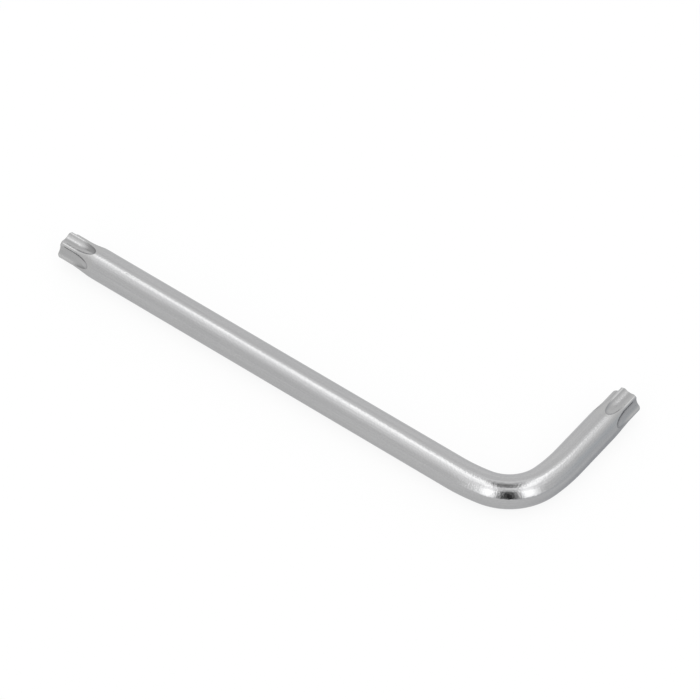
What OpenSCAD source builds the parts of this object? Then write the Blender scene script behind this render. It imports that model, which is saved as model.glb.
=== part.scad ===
// Star key: one round steel bar bent to an L, with a six-lobe star formed on both ends.
// The key lies flat with its long arm along X, its short arm along Y and the floor at zero height.
// The bar is drawn as stretches that meet face to face: two star tips, two necks, two arms and the bend.

/* [Bar] */
// Diameter of the round bar
bar_d = 7; // [6.8:0.1:8]

/* [Arms] */
// Length of the key along the long arm, from the tip's end to the outside of the bend
long_reach = 121.5; // [90:0.1:180]
// Length of the key along the short arm, from the tip's end to the outside of the bend
short_reach = 40.5; // [38:0.1:80]

/* [Bend] */
// Centre line radius in the middle of the bend
bend_r = 10.8; // [8:0.1:12]
// Centre line radius where the bend eases into each arm
ease_r = 39; // [20:1:45]
// Turn that each easing stretch takes, in degrees
ease_turn = 10.7; // [4:0.1:14]

/* [Star tips] */
// Star diameter over the lobes
lobe_d = 6.75; // [6.4:0.05:6.8]
// Star diameter between opposite flutes
flute_d = 5; // [4.4:0.05:5.2]
// Rounding radius of a lobe
lobe_r = 0.4; // [0.35:0.01:0.65]
// Length of the star at full depth
tip = 3.9; // [1.5:0.1:5]
// Radius of the arc on which each flute runs out into the bar
run_r = 10.4; // [8:0.1:12]
// Length over which the star widens to the bar, up to the arm
taper = 4; // [1:0.1:4]
// Plain bar between the end of the flutes and the arm
plain = 0.8; // [0.5:0.1:3]
// Chamfer on the end of each tip
end_chamfer = 0.5; // [0.1:0.05:0.8]
// Lean of a lobe of the long tip from the top of the bar to the outside of the L, in degrees
long_tip_lean = 38; // [0:1:60]
// Lean of a lobe of the short tip from the top of the bar to the outside of the L, in degrees
short_tip_lean = 37; // [0:1:60]

/* [Hidden] */
$fn = 96;
steel = [0.72, 0.72, 0.73];
plated = [0.78, 0.78, 0.79];

// The star has six lobes with a flute midway between each two
lobes = 6;
pitch = 360 / lobes;
half_pitch = pitch / 2;
// How far the lobe's arc stands past the star's outside, so that the two cross
crown = 0.03;
// How much wider the flute's arc is than one that only touches the lobes' arcs, so that they cross
bite = 0.02;
// Angle at the crest of a lobe that the cutters on both sides of it leave free
crest = 3.2;
// Shares of the lobe's arc, from the flute to the crest, between which flats round the lobe in the neck
shoulder_shares = [1, 0.5, 0.07];
// How far the cutters reach past the bar
overrun = 1;
right_angle = 90;

bar_r = bar_d / 2;
star_r = lobe_d / 2;
floor_r = flute_d / 2;

// Radius of the flute's arc, from the one that touches the arcs of the lobes on both sides of it
lobe_at = star_r - lobe_r;
touch_r = (pow(lobe_at, 2) + pow(floor_r, 2) - 2 * lobe_at * floor_r * cos(half_pitch) - pow(lobe_r, 2))
    / (2 * (lobe_r - floor_r + lobe_at * cos(half_pitch)));
flute_r = touch_r + bite;
// Angle at the lobe's centre from its crest to the flute
touch_at = floor_r + touch_r;
touch_gap = lobe_r + touch_r;
shoulder_turn = acos((pow(touch_at, 2) - pow(lobe_at, 2) - pow(touch_gap, 2)) / (2 * lobe_at * touch_gap));

// In the neck each flute rises along an arc until its floor leaves the wider of the bar and the star
run_turn = acos(1 - (max(bar_r, star_r) - floor_r) / run_r);
run = run_r * sin(run_turn);
neck = run + plain;

// Distance from the corner, where the arms' centre lines would cross, to each end of the whole bend
bend_reach = ease_r - (ease_r - bend_r) * (cos(ease_turn) - sin(ease_turn));
corner = [long_reach / 2 - bar_r, bar_r - short_reach / 2, bar_r];
long_straight = long_reach - bar_r - bend_reach - tip - neck;
short_straight = short_reach - bar_r - bend_reach - tip - neck;

// Places a stretch of the long arm: its length runs in from the tip's end and its top points up
module in_long_arm() {
    translate([-long_reach / 2, corner.y, corner.z])
        rotate([right_angle, 0, right_angle])
            children();
}

// Places a stretch of the short arm in the same way
module in_short_arm() {
    translate([corner.x, short_reach / 2, corner.z])
        rotate([right_angle, 0, 0])
            children();
}

// A point on the arc of the lobe beside a flute that lies along Y, by its angle from the lobe's crest
function lobe_point(side, turn) = [
    side * ((lobe_at + crown) * sin(half_pitch) + lobe_r * sin(half_pitch - turn)),
    (lobe_at + crown) * cos(half_pitch) + lobe_r * cos(half_pitch - turn)
];

// A point past the outside of the bar, just short of the crest of the lobe beside a flute along Y
function lip_point(side) = (bar_r + overrun) * [side * sin(half_pitch - crest), cos(half_pitch - crest)];

// Outline that a flute takes out of the star, with the bar's axis at the origin and the flute along Y.
// A triangle on each side opens it over the shoulder of the lobe, and the lobe's arc rounds that shoulder.
module flute_outline() {
    difference() {
        union() {
            translate([0, floor_r + flute_r])
                circle(r = flute_r);
            for (side = [-1, 1])
                polygon([
                    [0, floor_r + flute_r],
                    (lobe_at + crown) * [side * sin(half_pitch), cos(half_pitch)],
                    lip_point(side)
                ]);
        }
        for (side = [-1, 1])
            rotate(side * half_pitch)
                translate([0, lobe_at + crown])
                    circle(r = lobe_r);
    }
}

// The same outline for the neck, with flats along the lobe's arc
module run_out_outline() {
    translate([0, floor_r + flute_r])
        circle(r = flute_r);
    for (side = [-1, 1])
        polygon([
            [0, floor_r + flute_r],
            for (share = shoulder_shares) lobe_point(side, share * shoulder_turn),
            lip_point(side)
        ]);
}

// Repeats a flute round the bar, leaving a lobe at the top
module six_flutes() {
    for (i = [0 : lobes - 1])
        rotate((i + 1 / 2) * pitch)
            children();
}

// The star at its full depth, from its chamfered end face to the neck
module star() {
    difference() {
        rotate_extrude()
            polygon([
                [0, 0],
                [star_r - end_chamfer, 0],
                [star_r, end_chamfer],
                [star_r, tip],
                [0, tip]
            ]);
        six_flutes()
            translate([0, 0, -overrun])
                linear_extrude(tip + 2 * overrun)
                    flute_outline();
    }
}

// The neck, where the star widens to the bar and the flutes rise along an arc and run out
module neck_body() {
    axis = floor_r + run_r;
    translate([0, 0, tip])
        difference() {
            rotate_extrude()
                polygon([
                    [0, 0],
                    [star_r, 0],
                    [star_r, neck - taper],
                    [bar_r, neck],
                    [0, neck]
                ]);
            six_flutes()
                translate([0, axis, 0])
                    rotate([right_angle, 0, -right_angle])
                        rotate(-run_turn)
                            rotate_extrude(angle = 3 * run_turn)
                                translate([axis, 0])
                                    rotate(right_angle)
                                        run_out_outline();
        }
}

// An arm, straight from the neck and then easing into the bend, with its bend side along X
module arm(straight) {
    translate([0, 0, tip + neck + straight]) {
        translate([0, 0, -straight])
            cylinder(d = bar_d, h = straight);
        translate([ease_r, 0, 0])
            rotate([right_angle, 0, 0])
                mirror([1, 0, 0])
                    rotate_extrude(angle = ease_turn)
                        translate([ease_r, 0])
                            circle(d = bar_d);
    }
}

module long_tip() {
    color(plated)
        in_long_arm()
            rotate(long_tip_lean)
                star();
}

module long_neck() {
    color(plated)
        in_long_arm()
            rotate(long_tip_lean)
                neck_body();
}

module long_arm() {
    color(steel)
        in_long_arm()
            arm(long_straight);
}

module bend() {
    middle = ease_r - bend_r;
    color(steel)
        translate(corner + [middle * sin(ease_turn) - bend_reach, ease_r - middle * cos(ease_turn), 0])
            rotate(ease_turn - right_angle)
                rotate_extrude(angle = right_angle - 2 * ease_turn)
                    translate([bend_r, 0])
                        circle(d = bar_d);
}

module short_arm() {
    color(steel)
        in_short_arm()
            mirror([1, 0, 0])
                arm(short_straight);
}

module short_neck() {
    color(plated)
        in_short_arm()
            rotate(-short_tip_lean)
                neck_body();
}

module short_tip() {
    color(plated)
        in_short_arm()
            rotate(-short_tip_lean)
                star();
}

long_tip();
long_neck();
long_arm();
bend();
short_arm();
short_neck();
short_tip();
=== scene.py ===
"""Star key: the plated bar, its bend and its two star ends, with the studio that shows them."""

import math

import bmesh
import bpy
from mathutils import Matrix, Vector


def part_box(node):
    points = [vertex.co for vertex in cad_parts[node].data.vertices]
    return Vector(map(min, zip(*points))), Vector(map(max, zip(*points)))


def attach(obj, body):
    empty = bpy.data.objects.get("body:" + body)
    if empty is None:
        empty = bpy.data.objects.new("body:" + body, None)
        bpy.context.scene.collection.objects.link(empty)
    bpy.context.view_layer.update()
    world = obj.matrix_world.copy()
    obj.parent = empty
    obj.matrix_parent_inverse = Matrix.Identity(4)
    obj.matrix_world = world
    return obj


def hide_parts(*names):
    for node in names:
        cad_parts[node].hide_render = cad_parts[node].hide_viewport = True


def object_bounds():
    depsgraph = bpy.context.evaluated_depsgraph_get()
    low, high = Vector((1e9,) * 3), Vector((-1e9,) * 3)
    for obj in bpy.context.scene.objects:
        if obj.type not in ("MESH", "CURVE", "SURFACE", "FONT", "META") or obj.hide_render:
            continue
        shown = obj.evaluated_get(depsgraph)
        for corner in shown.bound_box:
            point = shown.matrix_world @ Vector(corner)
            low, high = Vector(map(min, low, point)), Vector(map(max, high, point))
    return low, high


bl_info = {
    "name": "Star key",
    "version": (1, 0, 0),
    "blender": (4, 5, 0),
    "location": "View3D > Sidebar > Star key",
    "description": "Builds a star key bent from round bar, with its satin plating and its studio",
    "category": "Add Mesh",
}

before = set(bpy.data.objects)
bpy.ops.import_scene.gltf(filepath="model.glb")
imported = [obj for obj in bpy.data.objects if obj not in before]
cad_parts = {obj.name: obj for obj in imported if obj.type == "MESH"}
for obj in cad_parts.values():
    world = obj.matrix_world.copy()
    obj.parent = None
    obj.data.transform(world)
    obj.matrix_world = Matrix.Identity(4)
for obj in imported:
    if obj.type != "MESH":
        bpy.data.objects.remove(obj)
CAD_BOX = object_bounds()

LOW, HIGH = CAD_BOX
LONG_NECK_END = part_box("long_neck")[1].x
SHORT_NECK_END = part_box("short_neck")[0].y
FULL_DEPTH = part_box("long_tip")[1].x - LOW.x

# Faces round the bar, and along each of its stretches
ROUND = 288
LONG_STEPS = 28
SHORT_STEPS = 4
EASE_STEPS = 14
BEND_STEPS = 76
END_FACE_STEPS = 8
ROUNDING_STEPS = 6
CHAMFER_STEPS = 5
FULL_STEPS = 26
RUN_OUT_STEPS = 72
FLOOR_SIDES = 96
LOBES = 6

# Edges that turn more than this stay sharp
SHARP_TURN = math.radians(50)
SAME_PLACE = 1e-8

# Stretch of floor, counted to the right of the key's middle, over which its cool shade sets in
SHADE_FROM = 0.035
SHADE_TO = 0.08
# How far the darker shade beside the short arm starts under the key and reaches past it
DARK_INSIDE = 0.005
DARK_OUTSIDE = 0.01
# Stretch from the bend along the short arm over which that shade sets in
DARK_RISE = 0.025

BAR_PLACE = "bar_place"
CREST_HIGHLIGHT = "crest_highlight_mask"
FLUTE = "flute_depth"
RIM = "flute_rim"

# The rim of a run-out is at its full dark after this share of the taper
RIM_FULL_SHARE = 0.5
# Powers by which the rim and the painted highlight on a crest fade out
RIM_FADE = 2
CREST_HIGHLIGHT_FADE = 3

# Detail and roughness of the noise behind each effect of the plating
GRAIN_NOISE = (2.0, 0.6)
FLECK_NOISE = (1.0, 0.5)
LINE_NOISE = (3.0, 0.6)
HAZE_NOISE = (3.0, 0.55)
# Size of a fleck in grains, length of a hazy patch in widths, and the noise that each takes up
FLECK_GRAINS = 1.7
FLECK_FROM, FLECK_TO = 0.56, 0.72
HAZE_STRETCH = 2.5
HAZE_FROM, HAZE_TO = 0.35, 0.7
# Weight of the drawn lines in the relief, beside the grain
LINE_WEIGHT = 0.5
# How much smoother than the set roughness clean plating is, and what haze and flecks add
CLEAN_SMOOTHER = 0.02
HAZE_ROUGHER = 0.03
FLECK_ROUGHER = 0.03
# How far haze, and the lines and grain together, take the plating to its dull colour
HAZE_DULLS = 0.4
MOTTLE_DULLS = 0.8
MOTTLE_FROM, MOTTLE_TO = 0.8, 1.2
# Painted shade: how far a flute darkens the plating, plain and by its haze; painted highlight: how
# bright a crest is
FLUTE_PAINTED_SHADE = 0.5
FLUTE_HAZE_PAINTED_SHADE = 0.4
CREST_HIGHLIGHT_STRENGTH = 0.6

# Softboxes and dark gaps round the key, in degrees: each side's edge and the width of its fall.
# These lie on a plan of the ceiling, by the angle aside and the angle from overhead to the front.
OVERHEAD_BOXES = {"inner": (13, 10), "outer": (23, 20), "near": (-23, 8), "far": (27, 12)}
OVERHEAD_GAP = {"outer": (9, 12), "near": (-15, 30), "far": (14, 20)}
HALO = {"outer": (44, 25), "near": (-30, 25), "far": (72, 30)}
BACK_WALL = {"outer": (50, 30), "near": (-100, 30), "far": (-45, 20)}
# These lie by the heading from the camera's side and the angle down from overhead
FRONT_BOXES = {"inner": (18, 12), "outer": (42, 25), "near": (40, 15), "far": (92, 20)}
FRONT_GAP = {"outer": (16, 30), "near": (35, 30), "far": (120, 20)}
BACK_FLAG = {"inner": (-156, 8), "outer": (-92, 30), "near": (46, 16), "far": (130, 20)}
COOL_SIDE = {"inner": (75, 30), "outer": (130, 40), "near": (66, 24), "far": (150, 40)}
NO_INNER_EDGE = (-200, 10)
SIDES = ("Inner", "Outer", "Near", "Far")

FLOAT = "NodeSocketFloat"
VECTOR = "NodeSocketVector"
WHITE = (1.0, 1.0, 1.0, 1.0)


def length(name, description, default, **more):
    return bpy.props.FloatProperty(
        name=name,
        description=description,
        default=default,
        min=0,
        precision=5,
        subtype="DISTANCE",
        unit="LENGTH",
        **more,
    )


def angle(name, description, degrees):
    return bpy.props.FloatProperty(
        name=name,
        description=description,
        default=math.radians(degrees),
        subtype="ANGLE",
        unit="ROTATION",
    )


def share(name, description, default, high=1.0):
    return bpy.props.FloatProperty(
        name=name, description=description, default=default, min=0, max=high, subtype="FACTOR"
    )


def level(name, description, default):
    return bpy.props.FloatProperty(name=name, description=description, default=default, min=0)


def colour(name, description, default):
    return bpy.props.FloatVectorProperty(
        name=name, description=description, default=default, size=3, min=0, max=1, subtype="COLOR"
    )


class StarKeySizes(bpy.types.PropertyGroup):
    """Sizes of the bar, its bend and its star ends"""

    bar: length("Bar", "Diameter of the round bar", HIGH.z - LOW.z)
    bend: length("Bend", "Centre line radius in the middle of the bend", 0.0108)
    ease: length("Easing", "Centre line radius where the bend eases into an arm", 0.039)
    ease_turn: angle("Easing turn", "Turn that each easing stretch takes", 10.7)
    over_lobes: length("Over the lobes", "Star diameter over the lobes", 0.00675)
    between_flutes: length("Between flutes", "Star diameter between opposite flutes", 0.005)
    lobe: length("Lobe rounding", "Rounding radius of a lobe", 0.0004)
    full_depth: length("Full depth", "Length of the star at full depth", FULL_DEPTH)
    run_out: length("Run-out", "Radius of the arc on which a flute runs out into the bar", 0.0104)
    neck: length("Neck", "From the end of the key to the plain arm", LONG_NECK_END - LOW.x)
    taper: length("Taper", "Length over which the star widens to the bar", 0.004)
    chamfer: length("Chamfer", "Rounded chamfer on the end of each star", 0.00065)
    end_rounding: length("End rounding", "Rounding of the end face's edge", 0.0001)
    lip: length("Run-out lip", "Softness of the edge where a flute meets the bar", 0.00002)
    rim: length("Run-out rim", "Depth to which the edge of a flute's run-out is dark", 0.0005)
    long_lean: angle("Long star lean", "Lean of a lobe from the top to the outside of the L", 38)
    short_lean: angle("Short star lean", "Lean of a lobe from the top to the outside of the L", 37)


class StarKeyFinish(bpy.types.PropertyGroup):
    """Colours and surface of the plating"""

    bar: colour("Bar plate", "Colour of the plating on the bar", (0.44, 0.44, 0.442))
    bar_dull: colour("Bar haze", "Colour where handling has dulled the bar", (0.4, 0.401, 0.405))
    star: colour("Star plate", "Colour of the plating on the stars", (0.42, 0.42, 0.42))
    # Painted shade: the colour the flutes are darkened to, deeper as they sink
    flute_shade_colour: colour("Painted flute shade", "Colour of the plating down in the flutes", (0.36, 0.36, 0.362))
    # Painted highlight: the colour the lobe crests are lightened to, toward the end of each star
    crest: colour("Crest", "Colour of the lobes where they are rubbed bright", (0.5, 0.5, 0.5))
    rim: colour("Rim", "Colour along the edge where a flute runs out", (0.25, 0.25, 0.255))
    gloss: share("Roughness", "Roughness of the plating", 0.09)
    grain: length("Grain", "Size of the satin grain", 0.00035)
    line_width: length("Line width", "Width of the drawn lines", 0.00022)
    line_length: length("Line length", "Length of the drawn lines", 0.012)
    haze: length("Haze", "Size of the hazy patches", 0.009)
    relief: length("Relief", "Depth of the grain and the drawn lines together", 0.000025)
    edge_tint: colour("Edge tint", "Tint of the plating at a glancing angle", (0.85, 0.85, 0.86))


class StarKeyStudio(bpy.types.PropertyGroup):
    """Camera, floor and surroundings"""

    azimuth: angle("Azimuth", "Heading of the camera round the key", 37.67)
    elevation: angle("Elevation", "Height of the camera over the floor", 48.685)
    focal: bpy.props.FloatProperty(
        name="Lens", description="Focal length", default=199.2, subtype="DISTANCE_CAMERA"
    )
    distance: length("Distance", "From the camera to the point it looks at", 0.79651)
    aim: bpy.props.FloatVectorProperty(
        name="Aim",
        description="Point in the middle of the picture",
        default=(0.00444, -0.00372, 0.00357),
        size=3,
        precision=5,
        subtype="TRANSLATION",
        unit="LENGTH",
    )
    floor: colour("Floor", "Colour of the floor", (0.8, 0.8, 0.8))
    floor_size: length("Floor size", "Radius of the floor", 4.0)
    floor_glow: share("Floor glow", "How much of the floor shows as plain white", 0.88)
    floor_mirror: share("Floor in the plating", "Share of that glow that the plating shows", 0.75)
    floor_shade: colour("Floor shade", "Floor to the right, in the plating", (0.7, 0.72, 0.75))
    floor_dark: colour("Floor dark", "Floor by the short arm, in the plating", (0.5, 0.52, 0.56))
    room: colour("Room", "Colour of the surroundings", (0.98, 0.98, 0.98))
    cool_side: colour("Cool side", "Surroundings to the right", (0.79, 0.82, 0.85))
    overhead: level("Overhead boxes", "How much the two softboxes overhead add", 1.2)
    front: level("Front boxes", "How much the two softboxes in front add", 1.4)
    halo: level("Halo", "How much the spread round the overhead softboxes adds", 0.45)
    back: level("Back", "How much the wall behind the key adds", 0.1)
    gap: share("Gap", "How much the dark gap between the front boxes takes away", 0.97)
    spot: share("Spot", "How much the dark gap overhead takes away", 0.8)
    flag: share("Flag", "How much the dark flag behind the key on the left takes away", 0.35)


def settings():
    scene = bpy.context.scene
    return scene.star_key_sizes, scene.star_key_finish, scene.star_key_studio


class Layout:
    """Places on the bar's centre line, worked out from the sizes"""

    def __init__(self, sizes):
        self.radius = sizes.bar / 2
        self.ease = sizes.ease
        self.bend = sizes.bend
        self.turn = sizes.ease_turn
        inner = self.ease - self.bend
        # From the corner, where the arms' centre lines would cross, to each end of the whole bend
        self.reach = self.ease - inner * (math.cos(self.turn) - math.sin(self.turn))
        self.corner = Vector((HIGH.x - self.radius, LOW.y + self.radius, LOW.z + self.radius))
        self.middle = Vector(
            (inner * math.sin(self.turn) - self.reach, self.ease - inner * math.cos(self.turn), 0)
        )
        self.middle_turn = math.pi / 2 - 2 * self.turn
        # Half the length of the whole bend along the centre line
        self.half = self.ease * self.turn + self.bend * self.middle_turn / 2

    def straightened(self, point):
        """Where a point of the key would be if the bar were straight: along, inwards and up"""
        place = point - self.corner
        if place.x <= -self.reach:
            return place.x + self.reach - self.half, place.y, place.z
        if place.y >= self.reach:
            return place.y - self.reach + self.half, -place.x, place.z
        across, down = place.x + self.reach, self.ease - place.y
        turn = math.atan2(across, down)
        if turn <= self.turn:
            return self.ease * turn - self.half, self.ease - math.hypot(across, down), place.z
        across, down = place.x + self.ease, self.reach - place.y
        turn = math.atan2(down, across)
        if turn <= self.turn:
            return self.half - self.ease * turn, self.ease - math.hypot(across, down), place.z
        across, down = place.x - self.middle.x, self.middle.y - place.y
        turn = math.atan2(across, down) - math.pi / 4
        return self.bend * turn, self.bend - math.hypot(across, down), place.z


def in_long_arm():
    """Puts a stretch in the long arm: length along X from the end of the key, up along Y"""
    corner = Layout(settings()[0]).corner
    turned = Matrix(((0, 0, 1), (1, 0, 0), (0, 1, 0))).to_4x4()
    return Matrix.Translation((LOW.x, corner.y, corner.z)) @ turned


def in_short_arm():
    """Puts a stretch in the short arm: length from the key's end to the bend, up along Y"""
    corner = Layout(settings()[0]).corner
    turned = Matrix(((1, 0, 0), (0, 0, -1), (0, 1, 0))).to_4x4()
    return Matrix.Translation((corner.x, HIGH.y, corner.z)) @ turned


def open_edges(bm):
    return [edge for edge in bm.edges if edge.is_boundary]


def stretch_ring(bm, ring, along):
    """Extrudes a ring of edges along a vector and gives the new ring"""
    grown = bmesh.ops.extrude_edge_only(bm, edges=ring)["geom"]
    corners = [part for part in grown if isinstance(part, bmesh.types.BMVert)]
    bmesh.ops.translate(bm, vec=along, verts=corners)
    return [part for part in grown if isinstance(part, bmesh.types.BMEdge) and part.is_boundary]


def turn_ring(bm, ring, centre, axis, turn, steps):
    """Sweeps a ring of edges round a centre and closes its end"""
    bmesh.ops.spin(
        bm, geom=ring, cent=centre, axis=axis, angle=turn, steps=steps, use_duplicate=False
    )
    bmesh.ops.holes_fill(bm, edges=open_edges(bm), sides=0)


def new_piece(bm, name, material, nodes):
    """Makes an object of a finished mesh, with its place along the bar kept for the materials"""
    bmesh.ops.recalc_face_normals(bm, faces=bm.faces)
    for face in bm.faces:
        face.smooth = True
    for edge in bm.edges:
        edge.smooth = edge.calc_face_angle(0) < SHARP_TURN
    layout = Layout(settings()[0])
    place = bm.verts.layers.float_vector.new(BAR_PLACE)
    for vert in bm.verts:
        vert[place] = layout.straightened(vert.co)
    mesh = bpy.data.meshes.new(name)
    bm.to_mesh(mesh)
    bm.free()
    mesh.materials.append(material)
    piece = bpy.data.objects.new(name, mesh)
    bpy.context.scene.collection.objects.link(piece)
    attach(piece, "root")
    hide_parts(*nodes)
    return piece


def add_arm(name, place, side, steps, straight):
    """One arm: round bar that runs straight from the neck and then eases into the bend"""
    sizes = settings()[0]
    layout = Layout(sizes)
    bm = bmesh.new()
    start = Matrix.Translation((0, 0, sizes.neck))
    bmesh.ops.create_circle(bm, cap_ends=True, segments=ROUND, radius=layout.radius, matrix=start)
    ring = open_edges(bm)
    for _ in range(steps):
        ring = stretch_ring(bm, ring, Vector((0, 0, straight / steps)))
    centre = Vector((side * layout.ease, 0, sizes.neck + straight))
    turn_ring(bm, ring, centre, Vector((0, side, 0)), layout.turn, EASE_STEPS)
    bmesh.ops.transform(bm, matrix=place, verts=bm.verts)
    return new_piece(bm, name, bar_plate(), [name])


class STARKEY_OT_arms(bpy.types.Operator):
    """Add the long and the short arm, each with the stretch that eases into the bend"""

    bl_idname = "star_key.add_arms"
    bl_label = "Add arms"

    def execute(self, context):
        sizes = settings()[0]
        layout = Layout(sizes)
        long_straight = layout.corner.x - layout.reach - LONG_NECK_END
        short_straight = SHORT_NECK_END - layout.corner.y - layout.reach
        add_arm("long_arm", in_long_arm(), 1, LONG_STEPS, long_straight)
        add_arm("short_arm", in_short_arm(), -1, SHORT_STEPS, short_straight)
        return {"FINISHED"}


class STARKEY_OT_bend(bpy.types.Operator):
    """Add the tight middle of the bend"""

    bl_idname = "star_key.add_bend"
    bl_label = "Add bend"

    def execute(self, context):
        layout = Layout(settings()[0])
        bm = bmesh.new()
        centre = layout.corner + layout.middle
        lean = Matrix.Rotation(layout.turn, 4, "Z")
        upright = Matrix(((0, 0, 1), (1, 0, 0), (0, 1, 0))).to_4x4()
        out = Matrix.Translation((0, -layout.bend, 0))
        start = Matrix.Translation(centre) @ lean @ out @ upright
        bmesh.ops.create_circle(
            bm, cap_ends=True, segments=ROUND, radius=layout.radius, matrix=start
        )
        turn_ring(bm, open_edges(bm), centre, Vector((0, 0, 1)), layout.middle_turn, BEND_STEPS)
        new_piece(bm, "bend", bar_plate(), ["bend"])
        return {"FINISHED"}


def held(value):
    """A value kept between 0 and 1"""
    return min(max(value, 0), 1)


def soft_lower(first, second, softness):
    """The lower of two heights, with the edge between them rounded"""
    mix = held(0.5 + 0.5 * (second - first) / softness)
    return second + (first - second) * mix - softness * mix * (1 - mix)


class StarShape:
    """Radius of a star end, by the angle from a lobe's crest and the distance from the key's end"""

    def __init__(self, sizes):
        self.sizes = sizes
        self.bar = sizes.bar / 2
        self.star = sizes.over_lobes / 2
        self.floor = sizes.between_flutes / 2
        self.half_pitch = math.pi / LOBES
        lobe = sizes.lobe
        self.lobe_at = self.star - lobe
        near = self.lobe_at * math.cos(self.half_pitch)
        # The flute's arc touches the arcs of the lobes on both sides of it
        self.flute = (self.lobe_at**2 + self.floor**2 - 2 * near * self.floor - lobe**2) / (
            2 * (lobe - self.floor + near)
        )

    def outside(self, along):
        """Radius of the round body that the flutes are cut in"""
        sizes = self.sizes
        if along < sizes.chamfer:
            left = sizes.chamfer - along
            return self.star - sizes.chamfer + math.sqrt(sizes.chamfer**2 - left**2)
        widened = held((along - sizes.neck + sizes.taper) / sizes.taper)
        return self.star + (self.bar - self.star) * widened * widened * (3 - 2 * widened)

    def rise(self, along):
        """How far a flute has risen along its run-out arc"""
        past = min(max(along - self.sizes.full_depth, 0), self.sizes.run_out)
        return self.sizes.run_out - math.sqrt(self.sizes.run_out**2 - past**2)

    def cut(self, turn, along):
        """Radius of the flute and of the lobe beside it, or None on the round body"""
        rise = self.rise(along)
        lobe = self.sizes.lobe
        off = abs((turn % (2 * self.half_pitch)) - self.half_pitch)
        flute_at = self.floor + self.flute + rise
        lobe_x = self.lobe_at * math.sin(self.half_pitch)
        lobe_y = self.lobe_at * math.cos(self.half_pitch) + rise
        reach = lobe / (lobe + self.flute)
        touch = math.atan2(lobe_x * (1 - reach), lobe_y + (flute_at - lobe_y) * reach)
        if off <= touch:
            across = flute_at * math.sin(off)
            return flute_at * math.cos(off) - math.sqrt(self.flute**2 - across**2)
        crest = math.atan2(lobe_x, lobe_y)
        if off >= crest:
            return None
        far = math.hypot(lobe_x, lobe_y)
        across = far * math.sin(off - crest)
        return far * math.cos(off - crest) + math.sqrt(max(lobe**2 - across**2, 0))

    def radius(self, turn, along):
        outside = self.outside(along)
        cut = self.cut(turn, along)
        found = outside if cut is None else soft_lower(outside, cut, self.sizes.lip)
        edge = self.sizes.end_rounding
        if along < edge:
            found -= edge - math.sqrt(edge**2 - (edge - along) ** 2)
        return found

    def rim(self, turn, along):
        """How near a place in a flute is to the edge of its run-out"""
        past = (along - self.sizes.full_depth) / self.sizes.taper
        cut = self.cut(turn, along)
        if cut is None or past <= 0:
            return 0
        sunk = (self.outside(along) - cut) / self.sizes.rim
        if not 0 <= sunk < 1:
            return 0
        return min(past / RIM_FULL_SHARE, 1) * (1 - sunk) ** RIM_FADE

    def stations(self):
        """Distances from the key's end at which the body has rings, close where it is shaped"""
        sizes = self.sizes
        edge = sizes.end_rounding
        turns = [math.pi / 2 * i / ROUNDING_STEPS for i in range(ROUNDING_STEPS)]
        found = [edge * (1 - math.cos(turn)) for turn in turns]
        for start, stop, steps in (
            (edge, sizes.chamfer, CHAMFER_STEPS),
            (sizes.chamfer, sizes.full_depth, FULL_STEPS),
            (sizes.full_depth, sizes.neck, RUN_OUT_STEPS),
        ):
            found += [start + (stop - start) * i / steps for i in range(steps)]
        return found + [sizes.neck]


def add_star(name, place, lean, nodes):
    """One star end: a turned body with six flutes pressed in, which run out into the bar"""
    sizes = settings()[0]
    shape = StarShape(sizes)
    bm = bmesh.new()
    end = shape.outside(0) - sizes.end_rounding
    profile = [bm.verts.new((end * i / END_FACE_STEPS, 0, 0)) for i in range(END_FACE_STEPS)]
    profile += [bm.verts.new((shape.outside(along), 0, along)) for along in shape.stations()]
    profile.append(bm.verts.new((0, 0, sizes.neck)))
    edges = [bm.edges.new(pair) for pair in zip(profile, profile[1:])]
    bmesh.ops.spin(
        bm,
        geom=profile + edges,
        cent=(0, 0, 0),
        axis=(0, 0, 1),
        angle=2 * math.pi,
        steps=ROUND,
        use_merge=True,
        use_duplicate=False,
    )
    bmesh.ops.remove_doubles(bm, verts=bm.verts, dist=SAME_PLACE)
    crest = bm.verts.layers.float.new(CREST_HIGHLIGHT)
    flute = bm.verts.layers.float.new(FLUTE)
    rim = bm.verts.layers.float.new(RIM)
    depth = shape.star - shape.floor
    for vert in bm.verts:
        along = vert.co.z
        far = math.hypot(vert.co.x, vert.co.y)
        if far < SAME_PLACE:
            continue
        # The lobes are counted from the top of the bar
        turn = math.atan2(-vert.co.x, vert.co.y) - lean
        outside = shape.outside(along)
        radius = shape.radius(turn, along)
        vert.co.xy *= radius / outside
        sunk = held((outside - radius) / depth)
        fade = held((sizes.full_depth + sizes.taper / 2 - along) / sizes.taper)
        vert[flute] = sunk
        vert[rim] = shape.rim(turn, along)
        # Painted highlight on the crests, fading out toward the bar and down into the flutes
        vert[crest] = fade * (1 - sunk) ** CREST_HIGHLIGHT_FADE
    bmesh.ops.transform(bm, matrix=place, verts=bm.verts)
    return new_piece(bm, name, star_plate(), nodes)


class STARKEY_OT_stars(bpy.types.Operator):
    """Add the star on the end of each arm, with the neck where it widens to the bar"""

    bl_idname = "star_key.add_stars"
    bl_label = "Add star ends"

    def execute(self, context):
        sizes = settings()[0]
        add_star("long_star", in_long_arm(), sizes.long_lean, ["long_tip", "long_neck"])
        add_star("short_star", in_short_arm(), -sizes.short_lean, ["short_tip", "short_neck"])
        return {"FINISHED"}


def put(tree, kind, **values):
    """Adds a node and sets its own values"""
    node = tree.nodes.new(kind)
    for key, value in values.items():
        setattr(node, key, value)
    return node


def give(tree, socket, value):
    """Links an input to another socket, or sets it to a plain value"""
    if isinstance(value, bpy.types.NodeSocket):
        tree.links.new(value, socket)
    else:
        socket.default_value = value


def feed(tree, node, **inputs):
    """Sets or links a node's inputs, named with spaces as underscores"""
    for key, value in inputs.items():
        give(tree, node.inputs[key.replace("_", " ")], value)
    return node


def sum_of(tree, operation, *values):
    """A Math node on values that are numbers or sockets"""
    node = put(tree, "ShaderNodeMath", operation=operation)
    for socket, value in zip(node.inputs, values):
        give(tree, socket, value)
    return node.outputs[0]


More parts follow.
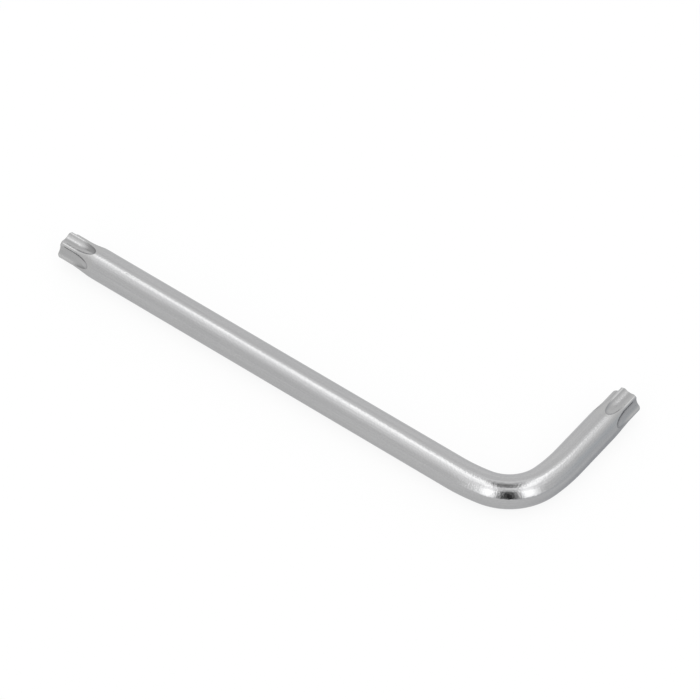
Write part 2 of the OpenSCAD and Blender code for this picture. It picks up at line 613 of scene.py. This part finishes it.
def scaled(tree, vector, along, across):
    """A place along the bar, divided by a length along it and a width across it"""
    by = put(tree, "ShaderNodeCombineXYZ")
    feed(tree, by, X=along, Y=across, Z=across)
    node = put(tree, "ShaderNodeVectorMath", operation="DIVIDE")
    tree.links.new(vector, node.inputs[0])
    tree.links.new(by.outputs[0], node.inputs[1])
    return node.outputs[0]


def noise(tree, vector, detail, roughness):
    """Noise with features of about one unit"""
    node = put(tree, "ShaderNodeTexNoise")
    feed(tree, node, Vector=vector, Scale=1.0, Detail=detail, Roughness=roughness)
    return node.outputs[0]


def ranged(tree, value, low, high, to_low=0.0, to_high=1.0):
    """A value that goes smoothly from one level to another between two limits"""
    node = put(tree, "ShaderNodeMapRange", interpolation_type="SMOOTHSTEP")
    feed(tree, node, Value=value, From_Min=low, From_Max=high, To_Min=to_low, To_Max=to_high)
    return node.outputs[0]


def blended(tree, factor, first, second):
    """A mix of two colours"""
    node = put(tree, "ShaderNodeMix", data_type="RGBA")
    for name, value in (("Factor", factor), ("A", first), ("B", second)):
        kind = "VALUE" if name == "Factor" else "RGBA"
        give(tree, next(s for s in node.inputs if s.name == name and s.type == kind), value)
    return next(s for s in node.outputs if s.type == "RGBA")


def effect(name, inputs, outputs):
    """A new shader node group with float or vector inputs and outputs, or the one made before"""
    if name in bpy.data.node_groups:
        return bpy.data.node_groups[name], None, None
    group = bpy.data.node_groups.new(name, "ShaderNodeTree")
    for label, kind in inputs:
        group.interface.new_socket(label, in_out="INPUT", socket_type=kind)
    for label, kind in outputs:
        group.interface.new_socket(label, in_out="OUTPUT", socket_type=kind)
    return group, group.nodes.new("NodeGroupInput"), group.nodes.new("NodeGroupOutput")


def satin_grain():
    """Fine grain all over the plating, as a height and as scattered flecks"""
    group, given, made = effect(
        "satin_grain", [("Place", VECTOR), ("Size", FLOAT)], [("Height", FLOAT), ("Flecks", FLOAT)]
    )
    if given:
        size = given.outputs["Size"]
        place = given.outputs["Place"]
        height = noise(group, scaled(group, place, size, size), *GRAIN_NOISE)
        fleck_size = sum_of(group, "MULTIPLY", size, FLECK_GRAINS)
        flecks = noise(group, scaled(group, place, fleck_size, fleck_size), *FLECK_NOISE)
        feed(group, made, Height=height, Flecks=ranged(group, flecks, FLECK_FROM, FLECK_TO))
    return group


def drawn_lines():
    """Faint lines along the bar from drawing and buffing"""
    group, given, made = effect(
        "drawn_lines", [("Place", VECTOR), ("Length", FLOAT), ("Width", FLOAT)], [("Height", FLOAT)]
    )
    if given:
        place, along, across = (given.outputs[name] for name in ("Place", "Length", "Width"))
        feed(group, made, Height=noise(group, scaled(group, place, along, across), *LINE_NOISE))
    return group


def handling_haze():
    """Soft patches where handling has dulled the plating"""
    group, given, made = effect(
        "handling_haze", [("Place", VECTOR), ("Size", FLOAT)], [("Mask", FLOAT)]
    )
    if given:
        along = sum_of(group, "MULTIPLY", given.outputs["Size"], HAZE_STRETCH)
        place = scaled(group, given.outputs["Place"], along, given.outputs["Size"])
        patches = noise(group, place, *HAZE_NOISE)
        feed(group, made, Mask=ranged(group, patches, HAZE_FROM, HAZE_TO))
    return group


def placed(tree, group, **inputs):
    """Puts a node group in a tree, with its inputs"""
    node = put(tree, "ShaderNodeGroup", node_tree=group)
    return feed(tree, node, **inputs)


def new_material(name):
    material = bpy.data.materials.new(name)
    material.use_nodes = True
    material.node_tree.nodes.clear()
    return material, material.node_tree


def attribute(tree, name):
    return put(tree, "ShaderNodeAttribute", attribute_name=name)


def plating(name, tint):
    """Satin plating with grain, drawn lines and haze; tint gives the base colour from the wear, and
    on the stars the painted shade and highlight too
    """
    if name in bpy.data.materials:
        return bpy.data.materials[name]
    finish = settings()[1]
    material, tree = new_material(name)
    place = attribute(tree, BAR_PLACE).outputs["Vector"]
    grain = placed(tree, satin_grain(), Place=place, Size=finish.grain).outputs
    lines = placed(
        tree, drawn_lines(), Place=place, Length=finish.line_length, Width=finish.line_width
    ).outputs["Height"]
    haze = placed(tree, handling_haze(), Place=place, Size=finish.haze).outputs["Mask"]
    height = sum_of(tree, "MULTIPLY_ADD", lines, LINE_WEIGHT, grain["Height"])
    bump = put(tree, "ShaderNodeBump")
    feed(tree, bump, Strength=1.0, Distance=finish.relief, Height=height)
    rough = sum_of(tree, "MULTIPLY_ADD", haze, HAZE_ROUGHER, finish.gloss - CLEAN_SMOOTHER)
    rough = sum_of(tree, "MULTIPLY_ADD", grain["Flecks"], FLECK_ROUGHER, rough)
    mottle = sum_of(tree, "ADD", lines, grain["Height"])
    worn = sum_of(tree, "MULTIPLY", haze, HAZE_DULLS)
    mottled = ranged(tree, mottle, MOTTLE_FROM, MOTTLE_TO, 0.0, MOTTLE_DULLS)
    worn = sum_of(tree, "ADD", worn, mottled)
    shader = put(tree, "ShaderNodeBsdfPrincipled")
    base = tint(tree, worn)
    feed(tree, shader, Base_Color=base, Metallic=1.0, Roughness=rough, Normal=bump.outputs[0])
    feed(tree, shader, Specular_Tint=opaque(finish.edge_tint))
    feed(tree, put(tree, "ShaderNodeOutputMaterial"), Surface=shader.outputs[0])
    return material


def opaque(tone):
    return (*tone, 1.0)


def bar_plate():
    """Plating of the arms and the bend, dulled where it is worn"""
    finish = settings()[1]

    def tint(tree, worn):
        return blended(tree, worn, opaque(finish.bar), opaque(finish.bar_dull))

    return plating("bar_plate", tint)


def star_plate():
    """Plating of the stars: painted shade in the flutes, dark along their run-outs, a painted
    highlight on the crests
    """
    finish = settings()[1]

    def tint(tree, worn):
        sunk = attribute(tree, FLUTE).outputs["Fac"]
        highlighted = attribute(tree, CREST_HIGHLIGHT).outputs["Fac"]
        # Painted shade in the flutes by their depth, deeper where the haze is
        dulled = sum_of(tree, "MULTIPLY_ADD", worn, FLUTE_HAZE_PAINTED_SHADE, FLUTE_PAINTED_SHADE)
        dulled = sum_of(tree, "MULTIPLY", sunk, dulled)
        base = blended(tree, dulled, opaque(finish.star), opaque(finish.flute_shade_colour))
        base = blended(tree, attribute(tree, RIM).outputs["Fac"], base, opaque(finish.rim))
        # Painted highlight on the crests
        highlighted = sum_of(tree, "MULTIPLY", highlighted, CREST_HIGHLIGHT_STRENGTH)
        return blended(tree, highlighted, base, opaque(finish.crest))

    return plating("star_plate", tint)


def soft_window():
    """A soft patch in the surroundings: 1 between its edges, with a soft fall on each side"""
    inputs = [("Across", FLOAT), ("Along", FLOAT)]
    inputs += [(side, FLOAT) for side in SIDES] + [(side + " Fall", FLOAT) for side in SIDES]
    group, given, made = effect("soft_window", inputs, [("Mask", FLOAT)])
    if given:
        mask = None
        for side in SIDES:
            value = given.outputs["Across" if side in ("Inner", "Outer") else "Along"]
            half = sum_of(group, "MULTIPLY", given.outputs[side + " Fall"], 0.5)
            low = sum_of(group, "SUBTRACT", given.outputs[side], half)
            high = sum_of(group, "ADD", given.outputs[side], half)
            ends = (0.0, 1.0) if side in ("Inner", "Near") else (1.0, 0.0)
            edge = ranged(group, value, low, high, *ends)
            mask = edge if mask is None else sum_of(group, "MULTIPLY", mask, edge)
        feed(group, made, Mask=mask)
    return group


def window(tree, across, along, outer, near, far, inner=NO_INNER_EDGE):
    """Mask of a soft patch; each side gives its edge and the width of its fall, in degrees"""
    node = placed(tree, soft_window(), Across=across, Along=along)
    for side, (edge, fall) in zip(SIDES, (inner, outer, near, far)):
        feed(tree, node, **{side: math.radians(edge), side + "_Fall": math.radians(fall)})
    return node.outputs["Mask"]


def add_surroundings(studio):
    """A bright even room with two softboxes overhead, two in front and dark gaps between them"""
    world = bpy.data.worlds.new("studio_room")
    bpy.context.scene.world = world
    world.use_nodes = True
    tree = world.node_tree
    tree.nodes.clear()
    ray = put(tree, "ShaderNodeTexCoord").outputs["Generated"]
    turned = put(tree, "ShaderNodeVectorRotate", rotation_type="Z_AXIS")
    feed(tree, turned, Vector=ray, Angle=-studio.azimuth)
    parts = put(tree, "ShaderNodeSeparateXYZ")
    feed(tree, parts, Vector=turned.outputs[0])
    side, back, up = parts.outputs
    # Angle from straight overhead, heading from the front, and the two as a plan seen from below
    fall = sum_of(tree, "ARCCOSINE", up)
    heading = sum_of(tree, "ARCTAN2", side, sum_of(tree, "MULTIPLY", back, -1.0))
    right = sum_of(tree, "MULTIPLY", fall, sum_of(tree, "SINE", heading))
    front = sum_of(tree, "MULTIPLY", fall, sum_of(tree, "COSINE", heading))
    # The softboxes and their gaps are alike on both sides, so these count the same left and right
    aside = sum_of(tree, "ABSOLUTE", right)
    swing = sum_of(tree, "ABSOLUTE", heading)
    lit = 1.0
    for gain, mask in (
        (studio.overhead, window(tree, aside, front, **OVERHEAD_BOXES)),
        (studio.front, window(tree, swing, fall, **FRONT_BOXES)),
        (studio.halo, window(tree, aside, front, **HALO)),
        (studio.back, window(tree, aside, front, **BACK_WALL)),
    ):
        lit = sum_of(tree, "MULTIPLY_ADD", mask, gain, lit)
    for depth, mask in (
        (studio.gap, window(tree, swing, fall, **FRONT_GAP)),
        (studio.spot, window(tree, aside, front, **OVERHEAD_GAP)),
        (studio.flag, window(tree, heading, fall, **BACK_FLAG)),
    ):
        lit = sum_of(tree, "MULTIPLY", lit, sum_of(tree, "MULTIPLY_ADD", mask, -depth, 1.0))
    cool = window(tree, heading, fall, **COOL_SIDE)
    tone = blended(tree, cool, opaque(studio.room), opaque(studio.cool_side))
    background = put(tree, "ShaderNodeBackground")
    feed(tree, background, Color=tone, Strength=lit)
    feed(tree, put(tree, "ShaderNodeOutputWorld"), Surface=background.outputs[0])


def add_floor(studio):
    """The plain pale floor that the key lies on"""
    bm = bmesh.new()
    bmesh.ops.create_circle(bm, cap_ends=True, segments=FLOOR_SIDES, radius=studio.floor_size)
    bmesh.ops.translate(bm, vec=(0, 0, LOW.z), verts=bm.verts)
    mesh = bpy.data.meshes.new("floor")
    bm.to_mesh(mesh)
    bm.free()
    material, tree = new_material("pale_floor")
    pale = put(tree, "ShaderNodeBsdfDiffuse")
    feed(tree, pale, Color=opaque(studio.floor))
    rays = put(tree, "ShaderNodeLightPath").outputs
    mirrored = sum_of(tree, "MAXIMUM", rays["Is Glossy Ray"], rays["Is Transmission Ray"])
    # The camera sees the whole glow, and the plating a share of it
    seen = sum_of(tree, "MULTIPLY", mirrored, studio.floor_mirror)
    seen = sum_of(tree, "MAXIMUM", rays["Is Camera Ray"], seen)
    # The floor falls into a cool shade to the right of the key, where only the plating shows it
    place = put(tree, "ShaderNodeSeparateXYZ")
    feed(tree, place, Vector=put(tree, "ShaderNodeTexCoord").outputs["Object"])
    x, y = place.outputs["X"], place.outputs["Y"]
    across = sum_of(tree, "MULTIPLY", x, math.cos(studio.azimuth))
    across = sum_of(tree, "MULTIPLY_ADD", y, math.sin(studio.azimuth), across)
    shade = sum_of(tree, "MULTIPLY", ranged(tree, across, SHADE_FROM, SHADE_TO), mirrored)
    tone = blended(tree, shade, WHITE, opaque(studio.floor_shade))
    # It is darker still close to the outside of the short arm
    beside = mirrored
    for edge in (
        ranged(tree, x, HIGH.x - DARK_INSIDE, HIGH.x),
        ranged(tree, x, HIGH.x, HIGH.x + DARK_OUTSIDE, 1.0, 0.0),
        ranged(tree, y, LOW.y, LOW.y + DARK_RISE),
    ):
        beside = sum_of(tree, "MULTIPLY", beside, edge)
    tone = blended(tree, beside, tone, opaque(studio.floor_dark))
    white = put(tree, "ShaderNodeEmission")
    feed(tree, white, Color=tone, Strength=1.0)
    mixed = put(tree, "ShaderNodeMixShader")
    glow = sum_of(tree, "MULTIPLY", seen, studio.floor_glow)
    for socket, value in zip(mixed.inputs, (glow, pale.outputs[0], white.outputs[0])):
        give(tree, socket, value)
    feed(tree, put(tree, "ShaderNodeOutputMaterial"), Surface=mixed.outputs[0])
    mesh.materials.append(material)
    floor = bpy.data.objects.new("floor", mesh)
    bpy.context.scene.collection.objects.link(floor)


def add_camera(studio):
    """The camera at the photograph's viewing angle"""
    flat = math.cos(studio.elevation)
    away = Vector(
        (
            flat * math.sin(studio.azimuth),
            -flat * math.cos(studio.azimuth),
            math.sin(studio.elevation),
        )
    )
    data = bpy.data.cameras.new("camera")
    data.lens = studio.focal
    camera = bpy.data.objects.new("camera", data)
    camera.location = Vector(studio.aim) + away * studio.distance
    camera.rotation_euler = away.to_track_quat("Z", "Y").to_euler()
    bpy.context.scene.collection.objects.link(camera)
    bpy.context.scene.camera = camera


class STARKEY_OT_stage(bpy.types.Operator):
    """Add the floor, the surroundings and the camera"""

    bl_idname = "star_key.add_stage"
    bl_label = "Add stage"

    def execute(self, context):
        studio = settings()[2]
        context.scene.view_settings.view_transform = "Standard"
        add_floor(studio)
        add_surroundings(studio)
        add_camera(studio)
        return {"FINISHED"}


class STARKEY_PT_panel(bpy.types.Panel):
    """Sizes, finish and studio of the star key, and what builds each piece"""

    bl_idname = "STARKEY_PT_panel"
    bl_label = "Star key"
    bl_space_type = "VIEW_3D"
    bl_region_type = "UI"
    bl_category = "Star key"

    def draw(self, context):
        layout = self.layout
        for group in settings():
            box = layout.box()
            for name in group.__annotations__:
                box.prop(group, name)
        for operator in OPERATORS:
            layout.operator(operator.bl_idname)


OPERATORS = (STARKEY_OT_arms, STARKEY_OT_bend, STARKEY_OT_stars, STARKEY_OT_stage)
CLASSES = (StarKeySizes, StarKeyFinish, StarKeyStudio, *OPERATORS, STARKEY_PT_panel)


def register():
    for cls in CLASSES:
        bpy.utils.register_class(cls)
    bpy.types.Scene.star_key_sizes = bpy.props.PointerProperty(type=StarKeySizes)
    bpy.types.Scene.star_key_finish = bpy.props.PointerProperty(type=StarKeyFinish)
    bpy.types.Scene.star_key_studio = bpy.props.PointerProperty(type=StarKeyStudio)


def unregister():
    del bpy.types.Scene.star_key_sizes
    del bpy.types.Scene.star_key_finish
    del bpy.types.Scene.star_key_studio
    for cls in reversed(CLASSES):
        bpy.utils.unregister_class(cls)


def main():
    register()
    bpy.ops.star_key.add_arms()
    bpy.ops.star_key.add_bend()
    bpy.ops.star_key.add_stars()
    bpy.ops.star_key.add_stage()


if __name__ == "__main__":
    main()
